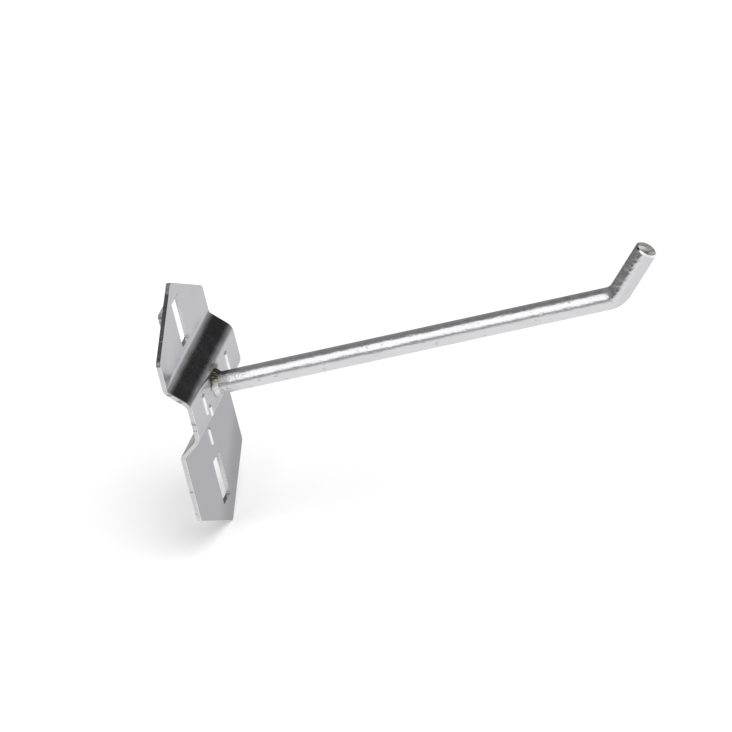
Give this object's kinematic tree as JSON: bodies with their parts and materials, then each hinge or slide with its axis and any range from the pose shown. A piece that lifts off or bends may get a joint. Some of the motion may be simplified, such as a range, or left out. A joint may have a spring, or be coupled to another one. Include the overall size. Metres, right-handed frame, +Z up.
{
  "type": "perforated panel hook",
  "caption": "Single hook for a square-hole tool panel: a folded sheet back plate with lanced lugs and a welded round rod with an upturned tip.",
  "frame": {"origin": "on the back face plane of the plate, midway between the two lugs, on the plate's centre line", "axes": "+Y points out of the plate's back into the panel, the rod points along -Y, +Z is up, X runs across"},
  "size_m": [0.036, 0.1091, 0.0574],
  "materials": {
    "zinc_sheet": "bright zinc plated, rolled sheet",
    "zinc_wire": "bright zinc plated, drawn wire",
    "weld": "heat-tinted weld metal"
  },
  "bodies": {
    "root": {"back_plate": "zinc_sheet", "rod": "zinc_wire", "weld_bead": "weld"}
  },
  "joints": []
}
